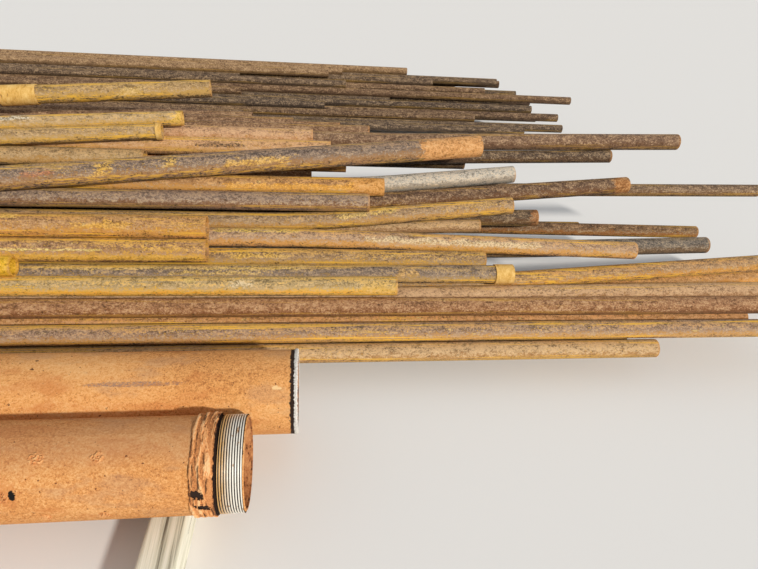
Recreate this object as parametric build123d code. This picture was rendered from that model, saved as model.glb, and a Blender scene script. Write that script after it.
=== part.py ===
from build123d import *

import math
import os

# A loose yard pile of used oilfield pipe: a heap of tubing with two large casings in front of it and a
# low mound of slim pipe behind it, all lying on three timber sleepers. Sizes are in millimetres, +Z is up, +X runs
# along the pipes towards the end that the photograph shows, and +Y goes from the casings to the back.

# Stock sizes: outer diameter and wall of each kind of pipe
tubing_od = 60.3
tubing_wall = 4.8
large_tubing_od = 73.0
large_tubing_wall = 5.5
slim_od = 48.3
slim_wall = 3.7
casing_od = 219.1
casing_wall = 8.9

# Rings that are left screwed on some of the tubing
coupling_wall = 3.0
coupling_length = 110.0
end_coupling_length = 62.0
end_ring_length = 18.0
coupling_place = -955.0

# Lathe work on the threaded casing: the turned neck, the groove behind it and the corroded collar
neck_length = 56.0
neck_depth = 3.0
groove_width = 9.0
groove_depth = 4.5
collar_length = 46.0
collar_rise = 2.6
mouth_chamfer = 2.5

# The two casings: where their right ends are, how long they are and where the front one lies
casing_threaded_right = -140.0
casing_plain_right = -31.0
casing_length = 6700.0
casing_front = 857.0

# Timber sleepers, sawn square with eased edges
sleeper_width = 89.0
sleeper_height = 89.0
sleeper_length = 3660.0
sleeper_ease = 11.0
sleeper_front = 430.0
sleeper_skew = 2.8
sleeper_starts = (-340.0, -2700.0, -4950.0)

# Clearance between two things that lie on each other
seat_gap = 0.3

# Distance between the places where a pipe that is being laid is compared with those under it
station_step = 50.0

# A bent pipe's bend is an arc that starts and ends this far from the corner
bend_reach = 150.0

# The hidden middle of the heap: how far it runs, and how deep the pipes that show are bedded in it
core_right = -340.0
core_left = -5150.0
bed_share = 0.40
toe_share = 0.75

# Back slope of the heap, from the crest down to the sleepers
back_pipes = 9
back_pitch = 66.0
back_angle = 45.0

# Low mound of slim pipe behind the heap: its pitch, its back pipe, and where the right ends of the pipes
# of each row are, from the front to the back and from the bottom row up
mound_back = 4012.0
mound_pitch = 62.0
mound_rows = (
    (1320, 1590, 1020, 700, 1480, 300, 1100, 560, 1390, 240, 900, 1200),
    (-385, 1020, 1585, 400, 1200, 90, 800, 1500, 250, 1100, 600),
    (90, 1410, 500, 1250, 200, 900, 1400, 350, 1000),
    (-410, 1700, 300, 1150, 700, 100, 1300),
    (225, -430, 800, 1250, 400),
    (120, 210, 640),
)


class Pipe:
    """One pipe along X. A bent one leans more to the side and up beyond its bend."""

    def __init__(self, name, od, wall, right, length, y, z=None, slope=0.0, bend=None):
        self.name = name
        self.radius = od / 2
        self.wall = wall
        self.right = right
        self.left = right - length
        self.y_zero = y
        self.z_zero = z
        self.slope = slope
        self.rise = 0.0
        self.bend_at, self.bend_side, self.bend_up = bend or (None, 0.0, 0.0)

    def beyond(self, x):
        """How far x lies beyond the bend, blended over the arc of the bend."""
        if self.bend_at is None or x <= self.bend_at - bend_reach:
            return 0.0
        if x >= self.bend_at + bend_reach:
            return x - self.bend_at
        return (x - self.bend_at + bend_reach) ** 2 / (4 * bend_reach)

    def y(self, x):
        return self.y_zero + self.slope * x + self.bend_side * self.beyond(x)

    def z(self, x):
        return self.z_zero + self.rise * x + self.bend_up * self.beyond(x)

    def point(self, x):
        return Vector(x, self.y(x), self.z(x))

    def bent_share(self, x):
        """How much of the bend the pipe has taken at x, from 0 to 1."""
        if self.bend_at is None:
            return 0.0
        return min(1.0, max(0.0, (x - self.bend_at + bend_reach) / (2 * bend_reach)))

    def lean(self, x):
        return self.slope + self.bend_side * self.bent_share(x)

    def climb(self, x):
        return self.rise + self.bend_up * self.bent_share(x)

    def middle(self):
        return (self.left + self.right) / 2


def stations(first, last):
    """Places along X from first to last, both included."""
    count = max(1, math.ceil((last - first) / station_step))
    return [first + (last - first) * i / count for i in range(count + 1)]


def height_over(pipe, other, x):
    """How high the pipe's axis must be at x to clear the other one, or None where it passes beside it."""
    askew = math.hypot(1, pipe.lean(x) - other.lean(x), pipe.climb(x) - other.climb(x))
    reach = (pipe.radius + other.radius + seat_gap) * askew
    offset = pipe.y(x) - other.y(x)
    if abs(offset) >= reach:
        return None
    return other.z(x) + math.sqrt(reach ** 2 - offset ** 2)


def needs_of(pipe, below):
    """Places along a pipe and the height that its axis needs there to clear what is below it."""
    needs = []
    for other in below:
        first = max(pipe.left, other.left)
        last = min(pipe.right, other.right)
        if first < last:
            found = [(x, height_over(pipe, other, x)) for x in stations(first, last)]
            needs += [(x, height) for x, height in found if height is not None]
    return needs


def sleeper_centre(start, y):
    """X of the middle of the sleeper that starts there, where it passes under y."""
    return start + (y - sleeper_front) * math.tan(math.radians(sleeper_skew))


def lay(pipe, below):
    """Rests a straight pipe on two of the things below it, one on each side of its middle."""
    needs = needs_of(pipe, below)
    for start in sleeper_starts:
        centre = sleeper_centre(start, pipe.y(start))
        for edge in (centre - sleeper_width / 2, centre + sleeper_width / 2):
            needs.append((edge, sleeper_height + pipe.radius + seat_gap))
    hull = []
    for place in sorted(needs):
        while len(hull) > 1 and turns_up(hull[-2], hull[-1], place):
            hull.pop()
        hull.append(place)
    for start, end in zip(hull, hull[1:]):
        if start[0] <= pipe.middle() <= end[0]:
            pipe.rise = (end[1] - start[1]) / (end[0] - start[0])
            pipe.z_zero = start[1] - pipe.rise * start[0]
            return pipe
    raise ValueError(pipe.name + " has nothing under its middle")


def turns_up(first, second, third):
    """Whether second lies on or under the line from first to third."""
    run = (second[0] - first[0]) * (third[1] - first[1])
    return run >= (second[1] - first[1]) * (third[0] - first[0])


def bed(pipe, below):
    """Keeps a level pipe at its chosen height over the sleepers, or lifts it until it clears the ones laid."""
    pipe.z_zero = sleeper_height + max(pipe.z_zero or 0, pipe.radius + seat_gap)
    lifts = [height - pipe.z(x) for x, height in needs_of(pipe, below)]
    pipe.z_zero += max(lifts + [0])
    return pipe


def tubing(name, y, z, right, length, **shape):
    return Pipe(name, tubing_od, tubing_wall, right, length, y, z, **shape)


def large_tubing(name, y, z, right, length, **shape):
    return Pipe(name, large_tubing_od, large_tubing_wall, right, length, y, z, **shape)


def slim_pipe(name, y, z, right, length, **shape):
    return Pipe(name, slim_od, slim_wall, right, length, y, z, **shape)


def front_slope():
    """The pipes of the heap that show from the front, from the bottom up, with their heights over the sleepers."""
    return [
        tubing("tubing_foot_1", 1313, None, 1134, 6400),
        tubing("tubing_foot_2", 1375, None, 1050, 6300),
        tubing("tubing_front_5", 1500, 71, 1900, 7200, bend=(50, 0.104, 0)),
        tubing("tubing_front_1", 1347, None, 1700, 7000),
        tubing("tubing_front_2", 1418, None, 1500, 6700),
        tubing("tubing_front_4", 1472, 127, 1750, 7000, bend=(0, 0, 0.014)),
        tubing("tubing_front_6", 1537, 135, 1950, 7200, bend=(540, 0.115, 0)),
        tubing("tubing_front_3", 1411, None, 1600, 6900),
        tubing("tubing_front_7", 1449, None, 273, 6400),
        tubing("tubing_front_8", 1511, None, 669, 6400),
        slim_pipe("tubing_middle_11", 1890, 155, 1060, 6800),
        tubing("tubing_middle_5", 1678, 183, 1480, 7200, bend=(700, 0.03, 0.015)),
        slim_pipe("tubing_middle_6", 1840, 189, 1530, 7300, bend=(0, 0, -0.012)),
        tubing("tubing_middle_1", 1581, 186, 586, 6400, bend=(0, -0.02, 0)),
        slim_pipe("tubing_middle_8", 1726, 233, 600, 6600, bend=(0, 0, 0.03)),
        tubing("tubing_middle_10", 1787, 237, 830, 6600, bend=(0, 0, 0.02)),
        tubing("tubing_middle_3", 1622, 246, 1146, 6600, bend=(0, 0, -0.035)),
        large_tubing("tubing_middle_2", 1538, None, -315, 6100),
        tubing("tubing_front_9", 1469, None, -850, 6100),
        tubing("tubing_middle_7", 1690, 277, 710, 6400, bend=(0, 0.086, 0.061)),
        slim_pipe("tubing_upper_2", 1915, 296, 1800, 7300, bend=(300, 0.015, 0.01)),
        large_tubing("tubing_middle_4", 1585, None, -315, 6100),
        tubing("tubing_upper_1", 1752, 314, 1193, 6900, bend=(150, 0.12, 0.03)),
        tubing("tubing_middle_9", 1697, None, 197, 6400),
        tubing("tubing_upper_4", 1807, 354, 740, 6600, bend=(150, 0.12, 0.05)),
        tubing("tubing_upper_3", 1750, None, 249, 6400),
        slim_pipe("tubing_upper_10", 2020, 363, 591, 6600),
        slim_pipe("tubing_upper_5", 1965, 394, 1160, 7200, bend=(100, 0.03, 0.02)),
        tubing("tubing_upper_11", 1900, 399, 128, 6400),
        tubing("tubing_upper_7", 1815, 436, -531, 6100),
        tubing("tubing_upper_6", 1985, 447, 1430, 7300, bend=(300, 0.03, 0.018)),
        tubing("tubing_upper_8", 1872, 461, 72, 6400),
        tubing("tubing_upper_9", 1930, 479, 12, 6400),
    ]


def back_slope():
    """The pipes along the crest and down the back slope, which only the back and the ends show."""
    y = 2168.0
    z = 451.0
    pipes = [
        tubing("tubing_crest", y, z, -215, 6200),
        tubing("tubing_crest", 2107, 456, -60, 6400),
        tubing("tubing_crest", 2046, 456, 220, 6600),
    ]
    for i in range(back_pipes):
        y += back_pitch * math.cos(math.radians(back_angle))
        z -= back_pitch * math.sin(math.radians(back_angle))
        right = 120 - 110 * ((i * 3) % 5)
        pipes.insert(0, tubing("tubing_back", y, z, right, 6300 + 150 * ((i * 3) % 5)))
    return pipes


def loose_load():
    """The loose pipes that lie askew on the heap, in the order they were thrown on."""
    return [
        large_tubing("tubing_top_1", 1785, None, 591, 3660, slope=0.125),
        slim_pipe("tubing_top_2", 1890, None, -474, 6100, slope=0.08),
        slim_pipe("tubing_top_3", 1939, None, -415, 6100, slope=0.08),
        tubing("tubing_top_4", 2135, None, -345, 6100, slope=0.13),
    ]


def heap_pipes():
    """Every pipe of the tubing heap, laid from the bottom up."""
    pipes = []
    for pipe in front_slope() + back_slope():
        pipes.append(bed(pipe, pipes))
    for pipe in loose_load():
        pipes.append(lay(pipe, pipes))
    return pipes


def mound_pipes():
    """The slim pipe behind the heap, each row in the hollows of the one under it."""
    pipes = []
    below = []
    for row, rights in enumerate(mound_rows):
        front = mound_back - mound_pitch * (len(rights) - 1 + row / 2)
        level = []
        for i, right in enumerate(rights):
            length = 6400 + 150 * ((i * 2 + row) % 5)
            level.append(slim_pipe(f"slim_pipes_{row + 1}", front + mound_pitch * i, None, right, length))
        for pipe in level:
            bed(pipe, below)
        below = level
        pipes += level
    return pipes


# Solids of the pieces
def ring_face(place, along, outer, inner):
    """A ring across the direction along, with its centre at place."""
    return Plane(origin=place, z_dir=along) * (Circle(outer) - Circle(inner))


def ring_between(start, end, outer, inner):
    """A straight round tube between two points."""
    along = end - start
    return extrude(ring_face(start, along, outer, inner), along.length, dir=along.normalized())


def pipe_solid(pipe):
    """A pipe with open ends, straight or with one bend."""
    start = pipe.point(pipe.left)
    end = pipe.point(pipe.right)
    bore = pipe.radius - pipe.wall
    if pipe.bend_at is None:
        return ring_between(start, end, pipe.radius, bore)
    out = pipe.point(pipe.bend_at + bend_reach)
    before = (pipe.point(pipe.bend_at - bend_reach) - start).normalized()
    after = (end - out).normalized()
    corner = start + before * ((pipe.bend_at - pipe.left) / before.X)
    into = corner - before * bend_reach
    out = corner + after * bend_reach
    turn = before.get_angle(after)
    across = before.cross(after).normalized()
    pivot = into + across.cross(before) * (bend_reach / math.tan(math.radians(turn / 2)))
    bent = revolve(ring_face(into, before, pipe.radius, bore), Axis(pivot, across), turn)
    left_run = ring_between(start, into, pipe.radius, bore)
    right_run = ring_between(out, end, pipe.radius, bore)
    return left_run + bent + right_run


def ring_on(pipe, start, end):
    """A ring round a pipe between two places along it."""
    inner = pipe.radius + seat_gap
    return ring_between(pipe.point(start), pipe.point(end), inner + coupling_wall, inner)


def along_x(right, length, y, radius, bore):
    """A level round tube along X on the sleepers."""
    z = sleeper_height + seat_gap + casing_od / 2
    return ring_between(Vector(right - length, y, z), Vector(right, y, z), radius, bore)


def threaded_casing(y):
    """The front casing: a turned neck at its right end, a groove behind it and a thick corroded collar."""
    radius = casing_od / 2
    bore = radius - casing_wall
    right = casing_threaded_right
    neck_start = right - neck_length
    groove_start = neck_start - groove_width
    collar_start = groove_start - collar_length
    casing = along_x(collar_start, casing_length - (right - collar_start), y, radius, bore)
    casing += along_x(groove_start, collar_length, y, radius + collar_rise, bore)
    casing += along_x(neck_start, groove_width, y, radius - groove_depth, bore)
    casing += along_x(right, neck_length, y, radius - neck_depth, bore)
    mouth = [edge for edge in casing.edges().filter_by(GeomType.CIRCLE).group_by(Axis.X)[-1] if edge.radius > bore + 1]
    return chamfer(mouth, mouth_chamfer)


def sleeper(start):
    """A sawn timber with eased edges, square to nothing but its own run."""
    middle = Plane(origin=(start, sleeper_front, sleeper_height / 2), x_dir=(1, 0, 0), z_dir=(0, 1, 0))
    section = RectangleRounded(sleeper_width, sleeper_height, sleeper_ease)
    timber = extrude(middle * section, sleeper_length)
    return timber.rotate(Axis((start, sleeper_front, 0), (0, 0, 1)), -sleeper_skew)


def core_outline(pipes):
    """The corners of the hidden middle across the heap, from its front toe over the crest to its back toe."""
    named = {pipe.name: pipe for pipe in pipes}
    front = ["tubing_foot_1", "tubing_front_1", "tubing_front_3", "tubing_front_7", "tubing_front_8"]
    front += ["tubing_middle_2", "tubing_middle_4", "tubing_middle_9"]
    front += ["tubing_upper_3", "tubing_upper_8", "tubing_upper_9"]
    chain = [named[name] for name in front]
    back = [pipe for pipe in pipes if pipe.name in ("tubing_crest", "tubing_back")]
    chain += sorted(back, key=lambda pipe: pipe.y_zero)
    base = sleeper_height + seat_gap
    toe = toe_share * chain[0].radius
    corners = [(chain[0].y_zero + toe, base)]
    corners += [(pipe.y_zero, pipe.z_zero - bed_share * pipe.radius) for pipe in chain]
    corners.append((chain[-1].y_zero - toe, base))
    return corners


def hidden_core(pipes):
    """The plain middle of the heap, with a seat along it for every pipe that lies in it."""
    across = Plane(origin=(core_left, 0, 0), x_dir=(0, 1, 0), z_dir=(1, 0, 0))
    length = core_right - core_left
    corners = core_outline(pipes)
    core = extrude(across * make_face(Polyline(*corners, close=True)), length)
    straight = [pipe for pipe in pipes if pipe.slope == 0]
    seats = [across * Pos(pipe.y_zero, pipe.z_zero) * Circle(pipe.radius + seat_gap) for pipe in straight]
    core -= [extrude(seat, length) for seat in seats]
    return max(core.solids(), key=lambda solid: solid.volume)


def pieces():
    """Every node and the solids in it."""
    heap = heap_pipes()
    named = {pipe.name: pipe for pipe in heap}
    nodes = {}
    for pipe in heap + mound_pipes():
        nodes.setdefault(pipe.name, []).append(pipe_solid(pipe))
    coupled = named["tubing_front_8"]
    ringed = named["tubing_top_2"]
    joined = named["tubing_top_4"]
    half = coupling_length / 2
    nodes["couplings"] = [
        ring_on(coupled, coupled.right - end_coupling_length, coupled.right),
        ring_on(ringed, ringed.right - end_ring_length, ringed.right),
        ring_on(joined, coupling_place - half, coupling_place + half),
    ]
    casing_radius = casing_od / 2
    casing_back = casing_front + casing_od + collar_rise + seat_gap
    plain = along_x(casing_plain_right, casing_length, casing_back, casing_radius, casing_radius - casing_wall)
    nodes["casing_threaded"] = [threaded_casing(casing_front)]
    nodes["casing_plain"] = [plain]
    for side, start in zip(("right", "middle", "left"), sleeper_starts):
        nodes["sleeper_" + side] = [sleeper(start)]
    nodes["hidden_core"] = [hidden_core(heap)]
    return nodes


def store():
    """Moves the pile so that the middle of its footprint is at the origin, and writes one file a node."""
    nodes = pieces()
    box = Compound([solid for solids in nodes.values() for solid in solids]).bounding_box()
    home = Pos(-(box.min.X + box.max.X) / 2, -(box.min.Y + box.max.Y) / 2, 0)
    os.makedirs("parts", exist_ok=True)
    for name, solids in nodes.items():
        moved = [home * solid for solid in solids]
        shape = moved[0] if len(moved) == 1 else Compound(moved)
        export_step(shape, f"parts/{name}.step")


store()
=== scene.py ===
"""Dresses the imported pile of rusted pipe: rust, scale, threads, torn lips, sawn timber and the stage."""

import math
import random

import bpy
from mathutils import Matrix, Vector, noise


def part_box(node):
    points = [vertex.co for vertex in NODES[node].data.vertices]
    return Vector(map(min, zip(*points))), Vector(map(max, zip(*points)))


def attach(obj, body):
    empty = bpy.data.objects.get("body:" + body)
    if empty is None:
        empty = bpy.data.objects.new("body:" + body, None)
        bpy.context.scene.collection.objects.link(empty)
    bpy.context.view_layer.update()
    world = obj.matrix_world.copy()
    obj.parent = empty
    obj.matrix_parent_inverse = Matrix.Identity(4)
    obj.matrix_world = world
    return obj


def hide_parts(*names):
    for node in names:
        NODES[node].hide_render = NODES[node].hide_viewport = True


bl_info = {
    "name": "Rusted Pipe Pile",
    "version": (1, 0, 0),
    "blender": (4, 5, 0),
    "location": "View3D > Sidebar > Pipe Pile",
    "description": "Dresses a pile of rusted round pipe that lies on timber sleepers",
    "category": "Object",
}

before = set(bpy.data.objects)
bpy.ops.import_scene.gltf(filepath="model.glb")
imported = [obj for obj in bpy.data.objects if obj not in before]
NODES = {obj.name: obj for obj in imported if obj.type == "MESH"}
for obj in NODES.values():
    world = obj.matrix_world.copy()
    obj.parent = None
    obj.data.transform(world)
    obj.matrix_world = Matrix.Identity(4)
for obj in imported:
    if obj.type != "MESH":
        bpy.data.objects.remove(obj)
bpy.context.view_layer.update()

# The pile was laid out about the spot under the camera, with x to the right and y ahead. The first pipe of
# the heap ends at FOOT_END there and lies at FOOT_AHEAD, and adding LAYOUT moves such places into the frame
FOOT_END = 1.134
FOOT_AHEAD = 1.313
FOOT_LOW, FOOT_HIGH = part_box("tubing_foot_1")
LAYOUT = Vector((FOOT_HIGH.x - FOOT_END, (FOOT_LOW.y + FOOT_HIGH.y) / 2 - FOOT_AHEAD, 0))

TUBING_RADIUS = 0.03015
TUBING_WALL = 0.0048
CASING_RADIUS = 0.10955
CASING_WALL = 0.0089
CASING_BORE = CASING_RADIUS - CASING_WALL

# The threaded casing's end: its neck, the collar behind the groove, how far the collar starts from the end,
# how far the scene's sleeve reaches past the collar at each side, and how far it stands over the casing
NECK_LENGTH = 0.056
COLLAR_LENGTH = 0.046
COLLAR_FROM_END = 0.111
SLEEVE_OVERLAP = 0.002
SLEEVE_STAND = 0.0032

# Layers of scale on the sleeve: the height of noise over which each one is left, and its thickness
SLEEVE_LAYERS = ((0.02, 0.0014), (0.32, 0.0012))

# The thread: the radius of its crests, and the shares of its pitch where root and crest end or start
THREAD_TOP = CASING_RADIUS - 0.0002
ROOT_END = 0.30
CREST_START = 0.42
CREST_END = 0.84

# Holes rusted through the collar: place from the end, turn in degrees (90 on top, 180 in front), half sizes
COLLAR_HOLES = (
    (-0.097, 161.0, 0.015, 5.2),
    (-0.086, 179.5, 0.016, 4.0),
)

# Raised crusts on the threaded casing: the layout's x, turn in degrees, and half sizes along and round
CASING_SCABS = (
    (-0.560, 116.0, 0.016, 7.0),
    (-0.440, 116.0, 0.014, 6.5),
    (-0.431, 188.0, 0.012, 5.0),
    (-0.545, 188.0, 0.010, 4.0),
    (-0.618, 156.0, 0.010, 7.0),
)
SCAB_RISE = 0.0044

# Pipes inside the heap: their gap to the heap's own pipes, how far they stay under the top ones, how near a
# top one counts, and how far back their right ends may lie
HIDDEN_GAP = 0.001
HIDDEN_DEPTH = 0.02
ROOF_REACH = 0.045
END_SPREAD = 0.3

# Spots on the casings: the layout's x, facing (1 up, 0 front), half sizes along and round, strength, colour
THREADED_SPOTS = (
    (-0.612, 0.42, 0.022, 0.25, 0.4, (196, 112, 60)),
    # Painted shade: a black spot for a hole rusted through the wall, dark inside
    (-0.600, 0.44, 0.0068, 0.092, 1.0, (14, 9, 6)),
    (-0.431, -0.12, 0.008, 0.02, 0.9, (60, 36, 22)),
)
PLAIN_SPOTS = (
    (-0.420, 0.855, 0.105, 0.030, 0.75, (128, 104, 100)),
    (-0.658, 0.99, 0.004, 0.003, 0.9, (84, 52, 34)),
    (-0.082, 0.77, 0.010, 0.030, 0.8, (244, 208, 150)),
    (-0.145, 0.60, 0.0006, 0.500, 0.6, (176, 118, 74)),
)

# How fine each layer of the tubing's rust is: waves to the metre along the pipe and across it
STREAKS = (5, 60, 60)
BLOTCHES = (30, 66, 66)
GRAIN = (130, 165, 165)
PATCHES = (1.3, 11, 11)
LINES = (3.0, 190, 190)
GRIT = (150, 190, 190)
CRUSTS = (24, 52, 52)
PITS = (80, 120, 120)

# Main rust of each row of slim pipes, from the lowest row up, darkened with painted shade; and main rust of
# the pipes inside the heap
SLIM_RUST_AND_SHADE = ((82, 66, 55), (96, 72, 55), (78, 63, 53), (108, 80, 58), (98, 78, 62), (146, 114, 82))
HIDDEN_LOOK = (84, 66, 54)

# Flaking scale: the colour of its cracks, its main colour and that of its palest flakes
SCALE_LOOKS = {
    "ring_scale": ((128, 96, 62), (204, 156, 76), (232, 194, 120)),
    "scab_scale": ((92, 54, 32), (198, 130, 74), (236, 184, 124)),
    "bore_scale": ((58, 34, 20), (176, 112, 66), (226, 164, 106)),
    "lip_burr": ((74, 64, 56), (200, 194, 184), (238, 234, 226)),
}

# Looks of each pipe: its main rust, the band along its front, and how much yellow scale it carries. The
# mains of tubing_middle_5, tubing_middle_6, tubing_middle_10, tubing_middle_11, tubing_upper_1,
# tubing_upper_2, tubing_upper_5, tubing_upper_6 and tubing_upper_10 are drawn darker than their rust, as
# painted shade
TUBING_LOOKS = {
    "tubing_foot_1": ((196, 160, 116), (176, 128, 76), 0.40),
    "tubing_foot_2": ((186, 144, 98), (226, 174, 92), 0.80),
    "tubing_front_1": ((158, 128, 104), (206, 152, 84), 0.80),
    "tubing_front_2": ((196, 140, 88), (226, 150, 72), 0.70),
    "tubing_front_3": ((158, 112, 76), (128, 82, 48), 0.12),
    "tubing_front_4": ((196, 156, 116), (168, 122, 78), 0.30),
    "tubing_front_5": ((186, 138, 86), (214, 148, 66), 0.60),
    "tubing_front_6": ((166, 132, 96), (214, 150, 62), 0.70),
    "tubing_front_7": ((180, 154, 108), (240, 188, 84), 0.80),
    "tubing_front_8": ((130, 112, 98), (196, 156, 88), 0.70),
    "tubing_front_9": ((224, 176, 60), (226, 160, 40), 0.90),
    "tubing_middle_1": ((150, 120, 88), (214, 164, 78), 0.90),
    "tubing_middle_2": ((160, 120, 86), (224, 172, 76), 0.90),
    "tubing_middle_3": ((174, 142, 114), (220, 160, 78), 0.60),
    "tubing_middle_4": ((172, 128, 84), (210, 150, 70), 0.75),
    "tubing_middle_5": ((108, 100, 92), (120, 92, 62), 0.12),
    "tubing_middle_6": ((116, 88, 64), (162, 104, 50), 0.30),
    "tubing_middle_7": ((156, 128, 98), (202, 150, 78), 0.65),
    "tubing_middle_8": ((196, 160, 116), (160, 116, 74), 0.40),
    "tubing_middle_9": ((140, 118, 102), (138, 96, 62), 0.30),
    "tubing_middle_10": ((96, 78, 62), (112, 78, 48), 0.12),
    "tubing_middle_11": ((108, 80, 56), (168, 102, 46), 0.35),
    "tubing_upper_1": ((104, 78, 60), (118, 80, 50), 0.12),
    "tubing_upper_2": ((118, 94, 74), (122, 88, 58), 0.12),
    "tubing_upper_3": ((168, 122, 76), (216, 156, 78), 0.70),
    "tubing_upper_4": ((196, 188, 174), (158, 142, 122), 0.00),
    "tubing_upper_5": ((82, 66, 55), (94, 68, 46), 0.06),
    "tubing_upper_6": ((126, 97, 76), (108, 76, 52), 0.08),
    "tubing_upper_7": ((180, 148, 104), (200, 152, 84), 0.60),
    "tubing_upper_8": ((204, 156, 112), (212, 158, 96), 0.45),
    "tubing_upper_9": ((200, 156, 118), (190, 138, 86), 0.35),
    "tubing_upper_10": ((66, 56, 50), (84, 62, 44), 0.06),
    "tubing_upper_11": ((208, 150, 96), (206, 144, 84), 0.30),
    "tubing_top_1": ((124, 106, 94), (170, 126, 78), 0.45),
    "tubing_top_2": ((168, 138, 98), (208, 164, 88), 0.65),
    "tubing_top_3": ((180, 152, 112), (206, 164, 92), 0.55),
    "tubing_top_4": ((162, 132, 90), (204, 162, 86), 0.65),
    "tubing_crest": ((132, 98, 72), (124, 84, 50), 0.12),
    "tubing_back": ((148, 108, 76), (128, 84, 50), 0.20),
}

# Marks that stand out on one pipe, among them a painted highlight and painted shadows of gaps between pipes:
# from and to along the layout's x, the highest and lowest facing (1 straight up, 0 to the front, -1 down),
# and the colour
MARKS = {
    "tubing_front_7": (
        (-1.000, 0.360, 0.05, -0.25, (242, 168, 44)),
        (-0.375, -0.345, 0.99, 0.75, (230, 196, 110)),
        (-0.240, -0.170, 0.95, 0.50, (226, 206, 166)),
        (0.160, 0.280, 0.90, -0.20, (222, 178, 92)),
    ),
    "tubing_front_8": (
        (-1.400, -0.015, 0.99, 0.86, (222, 184, 98)),
        (-0.420, -0.140, 0.75, 0.50, (216, 178, 96)),
        (0.280, 0.350, 0.95, 0.30, (208, 162, 92)),
    ),
    "tubing_front_9": ((-0.900, -0.840, 1.10, -1.10, (236, 184, 40)),),
    "tubing_middle_1": ((-0.245, -0.070, 0.88, 0.50, (224, 176, 70)),),
    "tubing_middle_2": (
        (-0.940, -0.620, 0.58, 0.46, (244, 222, 130)),
        (-0.940, -0.320, 0.10, -0.35, (230, 178, 62)),
    ),
    "tubing_middle_4": (
        (-0.700, -0.530, 0.75, 0.25, (228, 172, 68)),
        (-0.920, -0.860, 1.00, 0.90, (236, 190, 84)),
    ),
    "tubing_middle_3": (
        (-0.308, -0.031, 1.00, 0.92, (238, 200, 84)),
        # Painted highlight: a cream stripe along the upper front
        (0.180, 0.780, 0.80, 0.35, (226, 202, 156)),
        (0.350, 0.820, -0.10, -0.60, (226, 160, 62)),
    ),
    "tubing_middle_7": (
        (0.100, 0.190, 0.97, 0.55, (232, 198, 116)),
        (0.200, 0.285, 0.99, 0.70, (234, 196, 100)),
    ),
    "tubing_middle_10": ((0.800, 0.840, 1.10, -1.10, (160, 106, 62)),),
    "tubing_upper_1": ((1.130, 1.200, 1.10, -1.10, (170, 112, 58)),),
    "tubing_upper_3": (
        (0.120, 0.260, 1.10, -0.60, (218, 154, 78)),
        (-0.270, 0.145, 0.60, 0.00, (234, 168, 60)),
    ),
    # Painted shadow: near-black marks for the gaps between tubing_upper_7 and tubing_upper_8
    "tubing_upper_7": ((-0.545, -0.445, 1.00, 0.90, (20, 13, 10)),),
    "tubing_upper_8": ((-0.370, -0.215, 0.70, 0.38, (18, 12, 9)),),
    "tubing_top_1": (
        (0.380, 0.600, 1.10, -1.10, (218, 156, 92)),
        (-0.640, -0.602, 0.98, 0.10, (226, 176, 70)),
        (-0.445, -0.415, 0.98, 0.40, (222, 176, 78)),
        (-0.270, -0.060, 0.62, 0.10, (222, 172, 74)),
        (-0.850, -0.760, 0.74, 0.42, (184, 112, 70)),
    ),
    "tubing_top_3": (
        (-0.440, -0.400, 1.10, -1.10, (232, 186, 82)),
        (-1.050, -0.870, 0.97, 0.70, (230, 220, 196)),
    ),
    "tubing_top_4": ((-0.640, -0.560, 0.60, -0.10, (226, 190, 118)),),
}


def tint(red, green, blue):
    """A colour written as 0 to 255, as Blender's linear values."""
    def linear(value):
        value = value / 255
        return value / 12.92 if value <= 0.04045 else ((value + 0.055) / 1.055) ** 2.4
    return (linear(red), linear(green), linear(blue), 1.0)


def darker(colour, share):
    """A colour written as 0 to 255 with only a share of its light, a little redder."""
    red, green, blue = colour
    return (red * share, green * share * 0.97, blue * share * 0.90)


def paler(colour, share):
    """A colour written as 0 to 255 moved a share of the way to cream."""
    return tuple(value + (cream - value) * share for value, cream in zip(colour, (236, 202, 154)))


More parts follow.
